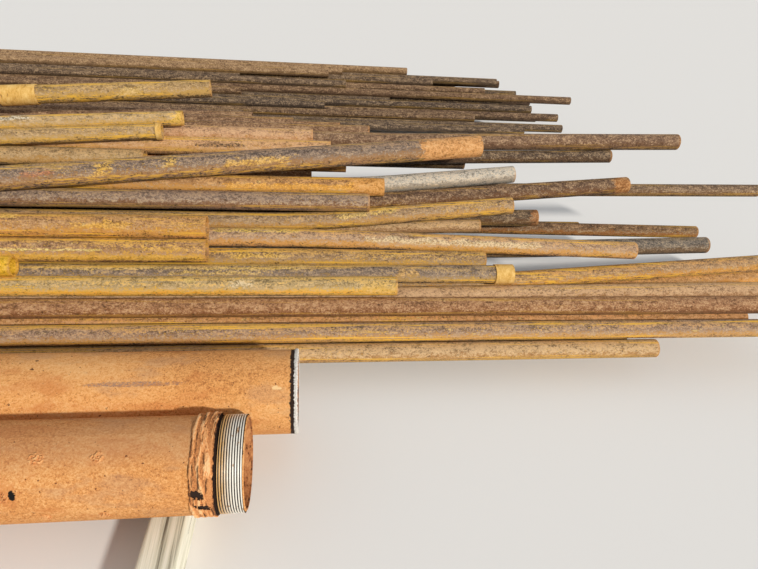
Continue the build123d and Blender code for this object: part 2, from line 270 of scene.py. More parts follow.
class Finish:
    """A material under construction, with short calls for the nodes that it needs."""

    def __init__(self, name):
        self.material = bpy.data.materials.new(name)
        self.material.use_nodes = True
        self.tree = self.material.node_tree
        self.tree.nodes.clear()
        output = self.node("ShaderNodeOutputMaterial")
        self.shader = self.node("ShaderNodeBsdfPrincipled")
        self.link(self.shader.outputs["BSDF"], output.inputs["Surface"])
        self.place = self.node("ShaderNodeTexCoord").outputs["Object"]
        self.normal = self.node("ShaderNodeNewGeometry").outputs["Normal"]
        self.colour = None

    def node(self, kind, **settings):
        made = self.tree.nodes.new(kind)
        for name, value in settings.items():
            setattr(made, name, value)
        return made

    def link(self, source, target):
        self.tree.links.new(source, target)

    def feed(self, target, value):
        """Sets a socket to a plain value or links it to another node's output."""
        if isinstance(value, bpy.types.NodeSocket):
            self.link(value, target)
        else:
            target.default_value = value

    def noise(self, scale, detail=4.0, rough=0.55, shift=(0.0, 0.0, 0.0)):
        """Noise over the object's own place, with its own scale along each axis."""
        mapping = self.node("ShaderNodeMapping")
        mapping.inputs["Scale"].default_value = scale
        mapping.inputs["Location"].default_value = shift
        self.link(self.place, mapping.inputs["Vector"])
        cloud = self.node("ShaderNodeTexNoise")
        cloud.inputs["Scale"].default_value = 1.0
        cloud.inputs["Detail"].default_value = detail
        cloud.inputs["Roughness"].default_value = rough
        self.link(mapping.outputs["Vector"], cloud.inputs["Vector"])
        return cloud.outputs["Fac"]

    def math(self, operation, first, second=0.0, clamp=False):
        made = self.node("ShaderNodeMath", operation=operation, use_clamp=clamp)
        self.feed(made.inputs[0], first)
        self.feed(made.inputs[1], second)
        return made.outputs[0]

    def plus(self, first, second):
        return self.math("ADD", first, second)

    def minus(self, first, second):
        return self.math("SUBTRACT", first, second)

    def times(self, first, second):
        return self.math("MULTIPLY", first, second)

    def square(self, value):
        return self.math("POWER", value, 2.0)

    def swing(self, value, size):
        """How far a value is from one half, times a size."""
        return self.times(self.minus(value, 0.5), size)

    def span(self, value, low, high):
        """0 below low and 1 above high, smooth between; the other way round where low is the higher."""
        made = self.node("ShaderNodeMapRange", interpolation_type="SMOOTHSTEP")
        self.feed(made.inputs["Value"], value)
        made.inputs["From Min"].default_value = low
        made.inputs["From Max"].default_value = high
        return made.outputs["Result"]

    def axis(self, vector, letter):
        made = self.node("ShaderNodeSeparateXYZ")
        self.link(vector, made.inputs[0])
        return made.outputs[letter]

    def distance(self, centre):
        """Distance of a point from a line along X through centre."""
        across = self.minus(self.axis(self.place, "Y"), centre.y)
        height = self.minus(self.axis(self.place, "Z"), centre.z)
        return self.math("SQRT", self.plus(self.square(across), self.square(height)))

    def mix(self, share, first, second):
        made = self.node("ShaderNodeMix", data_type="RGBA", blend_type="MIX")
        self.feed(made.inputs[0], share)
        self.feed(made.inputs[6], first)
        self.feed(made.inputs[7], second)
        return made.outputs[2]

    def ramp(self, value, stops):
        """A colour from a value: each stop is a place on it and a colour."""
        made = self.node("ShaderNodeValToRGB")
        band = made.color_ramp
        while len(band.elements) < len(stops):
            band.elements.new(0.5)
        for element, (place, colour) in zip(band.elements, stops):
            element.position = place
            element.color = colour
        self.link(value, made.inputs[0])
        return made.outputs[0]

    def stain(self, where, hue, share=1.0):
        """Lays a share of a hue over the colour so far, where a value is 1."""
        if share != 1.0:
            where = self.times(where, share)
        self.colour = self.mix(where, self.colour, hue)

    def bump(self, height, depth):
        made = self.node("ShaderNodeBump")
        made.inputs["Strength"].default_value = 1.0
        made.inputs["Distance"].default_value = depth
        self.link(height, made.inputs["Height"])
        self.link(made.outputs["Normal"], self.shader.inputs["Normal"])

    def finish(self, roughness, metallic=0.0, gloss=0.27):
        """Sets the surface; gloss is how much light it mirrors, little on rust and wood."""
        self.feed(self.shader.inputs["Base Color"], self.colour)
        self.feed(self.shader.inputs["Roughness"], roughness)
        self.shader.inputs["Metallic"].default_value = metallic
        self.shader.inputs["Specular IOR Level"].default_value = gloss
        return self.material


class TubeRust(Finish):
    """Gritty rust that is drawn out along a pipe."""

    def __init__(self, name, main, flecks, seed):
        super().__init__(name)
        self.main = main
        self.flecks = flecks
        self.seed = seed
        shift = (seed * 3.7, seed * 1.3, seed * 2.1)
        self.streaks = self.noise(STREAKS, 5, 0.66, shift)
        blotches = self.noise(BLOTCHES, 5, 0.72, shift)
        self.grain = self.noise(GRAIN, 4, 0.9, shift)
        self.patches = self.noise(PATCHES, 3, 0.6, (seed * 5.1, 2.0, seed))
        self.crusts = self.noise(CRUSTS, 6, 0.75, (seed * 1.9, 3.0, seed))
        body = self.plus(self.times(self.streaks, 0.26), self.times(blotches, 0.74))
        self.body = self.plus(body, self.swing(self.grain, 1.3))
        self.torn = self.minus(self.crusts, 0.5)
        self.ragged = self.times(self.torn, 0.16)
        self.along = self.axis(self.place, "X")
        self.up = self.axis(self.normal, "Z")
        dark = tint(*darker(main, 0.50))
        pale = tint(*paler(main, 0.55))
        self.colour = self.ramp(self.body, ((0.30, dark), (0.49, tint(*main)), (0.69, pale)))

    def bands(self, low):
        """The second colour along the front and on the crown, and painted shade darkening the underside,
        with wandering edges.
        """
        edge = self.plus(self.up, self.swing(self.body, 2.2))
        band = self.times(self.span(edge, 0.36, 0.16), self.span(edge, -0.50, -0.30))
        band = self.times(band, self.span(self.axis(self.normal, "Y"), 0.1, -0.3))
        self.stain(band, tint(*low), 0.75)
        crown = self.times(self.span(edge, 0.84, 1.00), self.span(self.streaks, 0.40, 0.54))
        self.stain(crown, tint(*low), 0.75 * self.flecks)
        # Painted shade: the underside is drawn darker
        under = self.span(edge, -0.35, -0.75)
        self.stain(under, tint(*darker(self.main, 0.45)), 0.7)

    def yellow_lines(self, hue):
        """Yellow scale in long lines, mostly near the crown and the front, and its grit between them."""
        lines = self.noise(LINES, 3, 0.6, (self.seed, 9.0, self.seed * 0.7))
        edges = self.math("ADD", self.span(self.up, 0.88, 0.97), self.span(self.up, 0.20, -0.10), clamp=True)
        often = self.plus(self.patches, self.times(self.minus(edges, 0.45), 0.22))
        often = self.span(often, 0.56 - 0.13 * self.flecks, 0.64)
        line = self.times(self.span(lines, 0.49, 0.56), often)
        self.stain(line, hue, min(0.9, 0.12 + 1.05 * self.flecks))
        grit = self.span(self.noise(GRIT, 2, 0.7, (self.seed * 2.9, 1.0, self.seed)), 0.57, 0.66)
        grit = self.times(grit, self.span(self.patches, 0.40, 0.58))
        self.stain(grit, hue, 0.06 + 0.68 * self.flecks)

    def pale_crust(self, hue):
        """Patches of crust, more of them on a pipe with much yellow scale."""
        thick = 0.74 - 0.16 * self.flecks
        crust = self.times(self.span(self.crusts, thick, thick + 0.04), self.span(self.grain, 0.40, 0.52))
        self.stain(crust, hue, 0.85)
        return crust

    def dark_pits(self):
        pits = self.noise(PITS, 3, 0.6, (self.seed, self.seed * 2.3, 4.0))
        pits = self.span(pits, 0.62, 0.70)
        self.stain(pits, tint(*darker(self.main, 0.35)), 0.55)
        return pits

    def mark(self, first, last, high, low, colour):
        """One mark of the table above, with torn edges, and mottled unless it is nearly black."""
        near = self.plus(self.along, self.ragged)
        first = first + LAYOUT.x
        last = last + LAYOUT.x
        starts = self.span(near, first - 0.004, first + 0.004)
        ends = self.span(near, last + 0.004, last - 0.004)
        spot = self.times(starts, ends)
        facing = self.plus(self.up, self.times(self.torn, min(1.3, 4 * (high - low))))
        soft = min(0.08, 0.25 * (high - low))
        spot = self.times(spot, self.span(facing, low - soft, low + soft))
        spot = self.times(spot, self.span(facing, high + soft, high - soft))
        whole_turn = high > 1
        kept = self.span(self.grain, 0.22, 0.40) if whole_turn else self.span(self.grain, 0.41, 0.56)
        hue = tint(*colour)
        if max(colour) > 60:
            dark = tint(*darker(colour, 0.66))
            pale = tint(*paler(colour, 0.45))
            hue = self.ramp(self.body, ((0.32, dark), (0.50, hue), (0.68, pale)))
        self.stain(self.times(spot, self.times(kept, 0.90)), hue)

    def cut_end(self, end_x, hue):
        """A brighter rim where the pipe was cut."""
        along = self.plus(self.along, self.times(self.ragged, 0.06))
        self.stain(self.span(along, end_x - 0.009, end_x - 0.004), hue, 0.35)


def rusted_pipe(name, main, low, flecks, end_x, seed, colours, marks=()):
    """Gritty rust with a front band, yellow lines, crust, pits, a pipe's own marks and a bright cut end."""
    made = TubeRust(name, main, flecks, seed)
    made.bands(low)
    made.yellow_lines(colours.scale)
    crust = made.pale_crust(colours.crust)
    pits = made.dark_pits()
    for mark in marks:
        made.mark(*mark)
    made.cut_end(end_x, colours.cut_end)
    height = made.plus(made.times(made.grain, 0.8), made.times(crust, 0.25))
    made.bump(made.minus(height, made.times(pits, 0.4)), 0.0030)
    return made.finish(made.minus(0.92, made.times(made.grain, 0.25)))


class CasingRust(Finish):
    """Even gritty orange rust of the large casings."""

    def __init__(self, name, main, seed):
        super().__init__(name)
        self.seed = seed
        self.clouds = self.noise((2.2, 6, 6), 5, 0.6, (seed, 0, 0))
        self.grain = self.noise((200, 215, 215), 4, 0.9, (seed, 0, 0))
        self.mottling = self.noise((70, 90, 90), 5, 0.75, (seed, 0, 0))
        body = self.plus(self.times(self.clouds, 0.55), self.times(self.mottling, 0.45))
        body = self.plus(body, self.swing(self.grain, 1.1))
        self.up = self.axis(self.normal, "Z")
        self.front = self.span(self.axis(self.normal, "Y"), 0.30, 0.10)
        self.ragged = self.plus(self.axis(self.place, "X"), self.swing(self.mottling, 0.02))
        self.colour = self.ramp(body, ((0.28, tint(150, 88, 46)), (0.49, main), (0.72, tint(242, 190, 128))))

    def drifts(self):
        """Wide clouds of redder and greyer rust."""
        drift = self.noise((4.5, 11, 11), 4, 0.65, (self.seed, 11, 4))
        self.stain(self.span(drift, 0.52, 0.66), tint(200, 120, 62), 0.45)
        self.stain(self.span(drift, 0.46, 0.34), tint(184, 144, 110), 0.35)

    def shaded_crown(self, share):
        # Painted shade: the crown is drawn darker and browner, by a share
        edge = self.plus(self.up, self.swing(self.clouds, 0.8))
        self.stain(self.span(edge, 0.70, 1.05), tint(178, 124, 88), share)

    def specks(self):
        specks = self.noise((110, 130, 130), 2, 0.5, (self.seed, 7, 1))
        specks = self.span(specks, 0.70, 0.76)
        self.stain(specks, tint(126, 74, 42))
        return specks

    def spot(self, x, facing, length, width, strength, colour):
        """One spot of the tables above; a weak one has a more frayed edge and lets the grain through."""
        near = self.math("DIVIDE", self.minus(self.ragged, x + LAYOUT.x), length)
        round_it = self.math("DIVIDE", self.minus(self.up, facing), width)
        far = self.plus(self.square(near), self.square(round_it))
        far = self.plus(far, self.swing(self.mottling, 5.0 if strength <= 0.8 else 1.4))
        spot = self.times(self.span(far, 1.20, 0.80), self.times(self.front, strength))
        if strength < 0.8:
            spot = self.times(spot, self.span(self.grain, 0.44, 0.54))
        self.stain(spot, tint(*colour))

    def worn_band(self, first, last):
        """Dark bare steel between two places along the pipe."""
        starts = self.span(self.ragged, first - 0.001, first + 0.001)
        ends = self.span(self.ragged, last + 0.001, last - 0.001)
        self.stain(self.times(starts, ends), tint(44, 28, 19))

    def rough_bore(self, centre):
        """Coarse scale on the inside; its relief is the result."""
        bore = self.span(self.distance(centre), CASING_BORE + 0.0016, CASING_BORE + 0.0004)
        scale = self.noise((60, 60, 60), 6, 0.8, (self.seed, 3, 8))
        stops = ((0.40, tint(60, 34, 20)), (0.47, tint(176, 108, 62)), (0.62, tint(222, 158, 100)))
        self.stain(bore, self.ramp(scale, stops))
        return self.times(self.times(bore, scale), 3.0)


def smooth_rust(name, sizes, main, seed, centre, crown_shade, worn, spots):
    """Even orange rust, darkened on the crown with painted shade, with spots, a dark worn end and rough
    scale in the bore.
    """
    made = CasingRust(name, main, seed)
    made.drifts()
    made.shaded_crown(crown_shade)
    specks = made.specks()
    for spot in spots:
        made.spot(*spot)
    made.worn_band(*worn)
    bore = made.rough_bore(centre)
    height = made.plus(made.times(made.grain, 1.1), made.times(made.mottling, 0.8))
    height = made.plus(height, bore)
    made.bump(made.minus(height, made.times(specks, 0.8)), sizes.rust_depth)
    return made.finish(0.88)


def bright_thread(name, sizes, colours, centre, start):
    """Machined threads: bare steel on the crests, dark rust in the roots, yellow rust towards the collar."""
    made = Finish(name)
    patch = made.noise((60, 40, 40), 5, 0.75, (3, 1, 2))
    along = made.plus(made.axis(made.place, "X"), made.times(patch, 0.03))
    made.colour = tuple(colours.thread)
    made.stain(made.span(along, start + 0.048, start + 0.018), tint(206, 160, 96))
    made.stain(made.span(patch, 0.58, 0.66), tint(176, 128, 76))
    depth = sizes.thread_depth
    lifted = made.span(made.distance(centre), THREAD_TOP - 0.75 * depth, THREAD_TOP - 0.25 * depth)
    made.colour = made.mix(lifted, tint(36, 24, 16), made.colour)
    made.bump(made.noise((300, 300, 300), 3, 0.6), 0.0004)
    return made.finish(0.42, metallic=0.15, gloss=0.5)


def flaky_scale(name, depth, fine=1.0):
    """Thick flaking scale, dark in its cracks, with smaller flakes where fine is higher."""
    cracks, main, pale = SCALE_LOOKS[name]
    made = Finish(name)
    flakes = made.noise((70 * fine, 34 * fine, 34 * fine), 6, 0.78, (5, 5, 5))
    grain = made.noise((260, 260, 260), 3, 0.8, (1, 0, 0))
    body = made.plus(made.times(flakes, 0.8), made.times(grain, 0.2))
    made.colour = made.ramp(body, ((0.37, tint(*cracks)), (0.43, tint(*main)), (0.62, tint(*pale))))
    made.bump(body, depth)
    return made.finish(0.92)


def torn_scale(name, centre, rest):
    """Layers of torn scale: painted shade darkens the gaps between them, palest on the highest, and split
    all round.
    """
    made = Finish(name)
    grain = made.noise((240, 240, 240), 4, 0.8, (2, 0, 0))
    cracks = made.noise((130, 14, 14), 5, 0.72, (6, 1, 0))
    height = made.minus(made.distance(centre), rest)
    height = made.plus(height, made.swing(grain, 0.0030))
    height = made.plus(made.times(height, 200.0), 0.30)
    # Painted shade: the lowest places between the layers are drawn dark
    shaded_gaps = (0.14, tint(92, 54, 32))
    lower = (0.32, tint(198, 130, 76))
    upper = (0.60, tint(228, 162, 102))
    top = (0.92, tint(240, 192, 138))
    made.colour = made.ramp(height, (shaded_gaps, lower, upper, top))
    split = made.span(cracks, 0.57, 0.61)
    made.stain(split, tint(62, 36, 22), 0.85)
    made.bump(made.minus(made.times(grain, 0.5), split), 0.0025)
    return made.finish(0.92)


def sawn_timber(name, colours):
    """Weathered sawn softwood: long grain, grey silvering and darker checks."""
    made = Finish(name)
    grain = made.noise((70, 1.6, 70), 6, 0.65)
    rings = made.noise((22, 0.7, 22), 3, 0.5, (4, 0, 0))
    fibre = made.noise((420, 9, 420), 2, 0.6)
    body = made.plus(made.times(grain, 0.55), made.times(rings, 0.30))
    body = made.plus(body, made.times(fibre, 0.15))
    stops = ((0.38, tint(104, 96, 80)), (0.47, tuple(colours.timber)), (0.59, tint(246, 243, 226)))
    made.colour = made.ramp(body, stops)
    checks = made.span(made.noise((120, 1.1, 120), 3, 0.7, (9, 0, 0)), 0.66, 0.70)
    made.stain(checks, tint(74, 62, 52))
    made.bump(made.minus(body, made.times(checks, 0.7)), 0.002)
    return made.finish(0.85)


def even_paint(name, colour):
    """Plain matt paint for the studio floor."""
    made = Finish(name)
    made.colour = colour
    return made.finish(0.9)


def dress(node, material):
    """Gives every material slot of a CAD node's object the same material."""
    for place in NODES[node].material_slots:
        place.material = material


def mesh_piece(name, points, faces, material, smooth=True):
    """A new piece of the pile from points and faces, riding on the pile."""
    mesh = bpy.data.meshes.new(name)
    mesh.from_pydata(points, [], faces)
    mesh.materials.append(material)
    mesh.validate()
    mesh.update()
    if smooth:
        mesh.polygons.foreach_set("use_smooth", [True] * len(mesh.polygons))
    piece = bpy.data.objects.new(name, mesh)
    bpy.context.scene.collection.objects.link(piece)
    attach(piece, "root")
    return piece


def round_places(count):
    """Angles spread evenly over one turn."""
    return [2 * math.pi * i / count for i in range(count)]


def on_circle(x, y, z, radius, angle):
    """A point of a circle that faces along X, with its centre at y, z."""
    return (x, y + radius * math.cos(angle), z + radius * math.sin(angle))


def lathe(centre, profile, count, wobble=None, twist=None, skip=None, closed=True):
    """Points and faces of a profile of (x, radius) turned about a line along X through centre."""
    points = []
    rounds = round_places(count) if closed else round_places(count) + [2 * math.pi]
    for angle in rounds:
        for j, (x, radius) in enumerate(profile):
            if twist:
                x = twist(x, angle)
            if wobble:
                x, radius = wobble(x, radius, j, angle)
            points.append(on_circle(x, centre.y, centre.z, radius, angle))
    faces = []
    steps = len(profile)
    for i in range(count):
        after = (i + 1) % count if closed else i + 1
        for j in range(steps - 1):
            if skip and skip(i, j):
                continue
            faces.append((i * steps + j, i * steps + j + 1, after * steps + j + 1, after * steps + j))
    return points, faces


def casing_mouth(node):
    """The line through a casing's middle, as a point on it, and the x of its right end."""
    low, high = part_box(node)
    return Vector((0, (low.y + high.y) / 2, (low.z + high.z) / 2)), high.x


def bumps(*place):
    """Smooth noise from -1 to 1 at a place."""
    return noise.noise(Vector(place))


class PileSizes(bpy.types.PropertyGroup):
    """Sizes of the fine relief that the looks add."""

    thread_pitch: bpy.props.FloatProperty(
        name="Thread pitch", description="Distance between the threads on the casing's neck",
        default=0.0056, min=0.002, unit="LENGTH")
    thread_depth: bpy.props.FloatProperty(
        name="Thread depth", description="Height of the threads over their roots",
        default=0.0026, min=0.0005, unit="LENGTH")
    rust_depth: bpy.props.FloatProperty(
        name="Rust depth", description="How deep the rust's grain reads in the bump",
        default=0.0016, min=0.0, unit="LENGTH")
    lip_fray: bpy.props.FloatProperty(
        name="Lip fray", description="How far the torn lip of the plain casing stands out",
        default=0.004, min=0.0, unit="LENGTH")
    hidden_pitch: bpy.props.FloatProperty(
        name="Hidden pitch", description="Distance between the pipes inside the heap",
        default=0.0625, min=0.0604, unit="LENGTH")


class PileColours(bpy.types.PropertyGroup):
    """Colours that run through the whole pile."""

    threaded: bpy.props.FloatVectorProperty(
        name="Threaded casing", description="Main rust of the casing with the threaded end",
        default=tint(218, 148, 82), size=4, subtype="COLOR", min=0, max=1)
    plain: bpy.props.FloatVectorProperty(
        name="Plain casing", description="Main rust of the casing with the plain end",
        default=tint(228, 160, 90), size=4, subtype="COLOR", min=0, max=1)
    scale: bpy.props.FloatVectorProperty(
        name="Yellow lines", description="Yellow rust drawn out in lines along the tubing",
        default=tint(240, 186, 66), size=4, subtype="COLOR", min=0, max=1)
    crust: bpy.props.FloatVectorProperty(
        name="Pale crust", description="Patches of pale yellow crust on the tubing",
        default=tint(232, 196, 124), size=4, subtype="COLOR", min=0, max=1)
    cut_end: bpy.props.FloatVectorProperty(
        name="Cut ends", description="Bright rim where a pipe was cut",
        default=tint(206, 146, 82), size=4, subtype="COLOR", min=0, max=1)
    thread: bpy.props.FloatVectorProperty(
        name="Thread steel", description="Bare steel of the threads",
        default=tint(240, 234, 220), size=4, subtype="COLOR", min=0, max=1)
    timber: bpy.props.FloatVectorProperty(
        name="Timber", description="Main colour of the sleepers",
        default=tint(214, 212, 190), size=4, subtype="COLOR", min=0, max=1)
    floor: bpy.props.FloatVectorProperty(
        name="Floor", description="Colour of the studio floor",
        default=tint(238, 236, 232), size=4, subtype="COLOR", min=0, max=1)


class PILE_OT_casings(bpy.types.Operator):
    """Give the two large casings their rust"""

    bl_idname = "pile.casings"
    bl_label = "Dress the casings"

    def execute(self, context):
        sizes = context.scene.pipe_pile_sizes
        colours = context.scene.pipe_pile_colours
        centre, end = casing_mouth("casing_threaded")
        worn = (end - COLLAR_FROM_END, end - 0.0045)
        main = tuple(colours.threaded)
        # The threaded casing's crown takes 0.42 of the painted shade
        rust = smooth_rust("threaded_rust", sizes, main, 3, centre, 0.42, worn, THREADED_SPOTS)
        dress("casing_threaded", rust)
        centre, end = casing_mouth("casing_plain")
        worn = (end - 0.017, end + 1)
        main = tuple(colours.plain)
        # The plain casing's crown takes 0.10 of the painted shade
        rust = smooth_rust("plain_rust", sizes, main, 8, centre, 0.10, worn, PLAIN_SPOTS)
        dress("casing_plain", rust)
        return {"FINISHED"}


class PILE_OT_threads(bpy.types.Operator):
    """Cut a helical thread round the threaded casing's neck"""

    bl_idname = "pile.threads"
    bl_label = "Cut the threads"

    def execute(self, context):
        sizes = context.scene.pipe_pile_sizes
        centre, end = casing_mouth("casing_threaded")
        pitch = sizes.thread_pitch
        start = end - NECK_LENGTH
        root = THREAD_TOP - sizes.thread_depth
        first = start + 0.0002
        last = end - 0.0030
        profile = []
        for turn in range(-1, int(NECK_LENGTH / pitch) + 1):
            x = start + turn * pitch
            profile += [(x, root), (x + ROOT_END * pitch, root)]
            profile += [(x + CREST_START * pitch, THREAD_TOP), (x + CREST_END * pitch, THREAD_TOP)]

        def twist(x, angle):
            return min(last, max(first, x + pitch * angle / (2 * math.pi)))

        points, faces = lathe(centre, profile, 144, twist=twist, closed=False)
        material = bright_thread("thread_steel", sizes, context.scene.pipe_pile_colours, centre, start)
        mesh_piece("neck_threads", points, faces, material)
        return {"FINISHED"}


class PILE_OT_collar(bpy.types.Operator):
    """Lay the torn sleeve of scale round the collar, with two holes rusted through"""

    bl_idname = "pile.collar"
    bl_label = "Tear the collar"

    def execute(self, context):
        centre, end = casing_mouth("casing_threaded")
        start = end - COLLAR_FROM_END - SLEEVE_OVERLAP
        length = COLLAR_LENGTH + 2 * SLEEVE_OVERLAP
        steps = 40
        count = 420
        rest = CASING_RADIUS + SLEEVE_STAND
        profile = [(start + length * j / (steps - 1), rest) for j in range(steps)]

        def wobble(x, radius, j, angle):
            """Two torn layers and their flakes, with both edges ragged and turned in."""
            along = x - start
            swell = bumps(along * 34, angle * 2.0, 1.0)
            layer = bumps(along * 120, angle * 2.4, 5.0)
            layer += 0.35 * bumps(along * 260, angle * 12, 3.0)
            flake = bumps(along * 420, angle * 40, 9.0)
            radius += 0.0012 * max(0.0, swell) + 0.0008 * flake
            for level, thickness in SLEEVE_LAYERS:
                if layer > level:
                    radius += thickness
            if j < 3:
                ragged = bumps(angle * 3.5, 2.0, 0.0) + 0.5 * bumps(angle * 13, 4.0, 0.0)
                x += 0.0040 * ragged * (3 - j) / 3
                radius -= 0.0005 * (3 - j)
            if j > steps - 4:
                x += 0.0030 * bumps(angle * 11, 7.0, 0.0)
                radius -= 0.0004 * (j - steps + 4)
            return x, radius

        def skip(i, j):
            """True inside a hole, whose edge is ragged."""
            x = start + length * j / (steps - 1) - end
            angle = 360 * i / count
            for place, turn, half_length, half_turn in COLLAR_HOLES:
                tilt = (x - place) * 150
                far = ((x - place) / half_length) ** 2 + ((angle - turn - tilt) / half_turn) ** 2
                if far < 1 + 1.3 * bumps(x * 190, angle * 0.75, 2.0):
                    return True
            return False

        points, faces = lathe(centre, profile, count, wobble=wobble, skip=skip)
        material = torn_scale("collar_scale", centre, rest)
        mesh_piece("collar_sleeve", points, faces, material, smooth=False)
        return {"FINISHED"}


class PILE_OT_scabs(bpy.types.Operator):
    """Raise small crusts of rust on the threaded casing's side"""

    bl_idname = "pile.scabs"
    bl_label = "Raise the crusts"

    def execute(self, context):
        centre = casing_mouth("casing_threaded")[0]
        points = []
        faces = []
        steps = 26
        for scab in CASING_SCABS:
            base = len(points)
            for i in range(steps):
                for j in range(steps):
                    across = 2 * i / (steps - 1) - 1
                    round_it = 2 * j / (steps - 1) - 1
                    points.append(self.crust_point(centre, scab, across, round_it))
            for i in range(steps - 1):
                for j in range(steps - 1):
                    corner = base + i * steps + j
                    faces.append((corner, corner + 1, corner + steps + 1, corner + steps))
        material = flaky_scale("scab_scale", 0.002)
        mesh_piece("casing_scabs", points, faces, material, smooth=False)
        return {"FINISHED"}

    def crust_point(self, centre, scab, across, round_it):
        """A point of one crust, from -1 to 1 along and round: lumps in the middle, sunk at its edge."""
        x, turn, half_length, half_turn = scab
        lump = bumps(across * 3.6, round_it * 3.6, x * 40)
        edge = max(0.0, 1 - across ** 2 - round_it ** 2)
        rise = SCAB_RISE * min(1.0, 9 * max(0.0, lump + 0.03)) * min(1.0, 3 * edge)
        angle = math.radians(turn + half_turn * round_it)
        radius = CASING_RADIUS - 0.0003 + rise
        return on_circle(x + LAYOUT.x + half_length * across, centre.y, centre.z, radius, angle)


class PILE_OT_mouth(bpy.types.Operator):
    """Line the threaded casing's mouth with rough scale"""

    bl_idname = "pile.mouth"
    bl_label = "Roughen the mouth"

    def execute(self, context):
        centre, end = casing_mouth("casing_threaded")
        steps = 14
        first = end - 0.004
        reach = 0.10
        rest = CASING_BORE - 0.0008
        profile = [(first - reach * (j / (steps - 1)) ** 1.4, rest) for j in range(steps)]

        def wobble(x, radius, j, angle):
            lump = bumps(x * 90, math.cos(angle) * 9, math.sin(angle) * 9)
            fine = bumps(x * 240, math.cos(angle) * 26, math.sin(angle) * 26)
            return x, radius - 0.0020 * abs(lump) - 0.0010 * abs(fine)

        points, faces = lathe(centre, profile, 200, wobble=wobble)
        mesh_piece("mouth_scale", points, faces, flaky_scale("bore_scale", 0.003))
        return {"FINISHED"}


class PILE_OT_lip(bpy.types.Operator):
    """Fray a pale burr round the plain casing's mouth"""

    bl_idname = "pile.lip"
    bl_label = "Fray the lip"

    def execute(self, context):
        centre, end = casing_mouth("casing_plain")
        fray = context.scene.pipe_pile_sizes.lip_fray
        profile = [(end - 0.0065, CASING_RADIUS + 0.0004), (end - 0.0040, CASING_RADIUS + 0.0010)]
        profile += [(end - 0.0015, CASING_RADIUS + 0.0014), (end + 0.0006, CASING_RADIUS + 0.0004)]
        profile += [(end + 0.0006, CASING_BORE)]
        draw = random.Random(11)

        def wobble(x, radius, j, angle):
            if j < 3:
                x += (0.25 if j else 1.0) * fray * (draw.random() - 0.7)
                radius += fray * 0.30 * draw.random()
            elif j == 3:
                x += 0.5 * fray * draw.random()
            return x, radius

        points, faces = lathe(centre, profile, 360, wobble=wobble)
        material = flaky_scale("lip_burr", 0.001, fine=7.0)
        mesh_piece("casing_lip", points, faces, material, smooth=False)
        return {"FINISHED"}


class PILE_OT_tubing(bpy.types.Operator):
    """Give every pipe of the heap its own weathered rust"""

    bl_idname = "pile.tubing"
    bl_label = "Dress the tubing"

    def execute(self, context):
        colours = context.scene.pipe_pile_colours
        for seed, (node, (main, low, flecks)) in enumerate(TUBING_LOOKS.items(), start=1):
            end_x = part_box(node)[1].x
            marks = MARKS.get(node, ())
            dress(node, rusted_pipe(node + "_rust", main, low, flecks, end_x, seed, colours, marks))
        return {"FINISHED"}


class PILE_OT_slim_pipes(bpy.types.Operator):
    """Give the rows of slim pipe behind the heap their rust, darkened with painted shade"""

    bl_idname = "pile.slim_pipes"
    bl_label = "Dress the slim pipes"

    def execute(self, context):
        colours = context.scene.pipe_pile_colours
        for row, main in enumerate(SLIM_RUST_AND_SHADE):
            node = f"slim_pipes_{row + 1}"
            no_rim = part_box(node)[1].x + 1
            low = darker(main, 0.75)
            dress(node, rusted_pipe(node + "_rust", main, low, 0.06, no_rim, row + 60, colours))
        return {"FINISHED"}


class PILE_OT_rings(bpy.types.Operator):
    """Give the rings on the tubing their yellow scale"""

    bl_idname = "pile.rings"
    bl_label = "Dress the rings"

    def execute(self, context):
        dress("couplings", flaky_scale("ring_scale", 0.001))
        return {"FINISHED"}


class PILE_OT_sleepers(bpy.types.Operator):
    """Give the timber sleepers their sawn grain"""

    bl_idname = "pile.sleepers"
    bl_label = "Dress the sleepers"

    def execute(self, context):
        material = sawn_timber("sleeper_wood", context.scene.pipe_pile_colours)
        for side in ("right", "middle", "left"):
            dress("sleeper_" + side, material)
        return {"FINISHED"}


class PILE_OT_hidden_pipes(bpy.types.Operator):
    """Fill the heap with its hidden pipes in place of the plain core"""

    bl_idname = "pile.hidden_pipes"
    bl_label = "Fill the heap"

    def execute(self, context):
        pitch = context.scene.pipe_pile_sizes.hidden_pitch
        low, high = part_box("hidden_core")
        taken = axes_in_heap()
        draw = random.Random(5)
        points = []
        faces = []
        row = 0
        z = low.z + TUBING_RADIUS
        while z < high.z:
            y = low.y + TUBING_RADIUS + (pitch / 2 if row % 2 else 0)
            while y < high.y - TUBING_RADIUS:
                if is_clear(y, z, taken) and z < roof_at(y, taken) - HIDDEN_DEPTH:
                    right = high.x - END_SPREAD * draw.random() ** 2
                    add_tube(points, faces, low.x, right, y, z)
                y += pitch
            z += pitch * math.sqrt(3) / 2
            row += 1
        no_rim = high.x + 9
        low_look = darker(HIDDEN_LOOK, 0.8)
        colours = context.scene.pipe_pile_colours
        material = rusted_pipe("hidden_rust", HIDDEN_LOOK, low_look, 0.2, no_rim, 91, colours)
        piece = mesh_piece("hidden_pipes", points, faces, material)
        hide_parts("hidden_core")
        return {"FINISHED"}


def axes_in_heap():
    """(y, z, radius) of every pipe that lies level in the heap, measured at its left end."""
    found = []
    for node, piece in NODES.items():
        if not node.startswith("tubing_") or node.startswith("tubing_top"):
            continue
        for island in islands(piece.data):
            left = min(point.x for point in island)
            ring = [point for point in island if point.x < left + 0.02]
            ys = [point.y for point in ring]
            zs = [point.z for point in ring]
            found.append(((min(ys) + max(ys)) / 2, (min(zs) + max(zs)) / 2, (max(ys) - min(ys)) / 2))
    return found


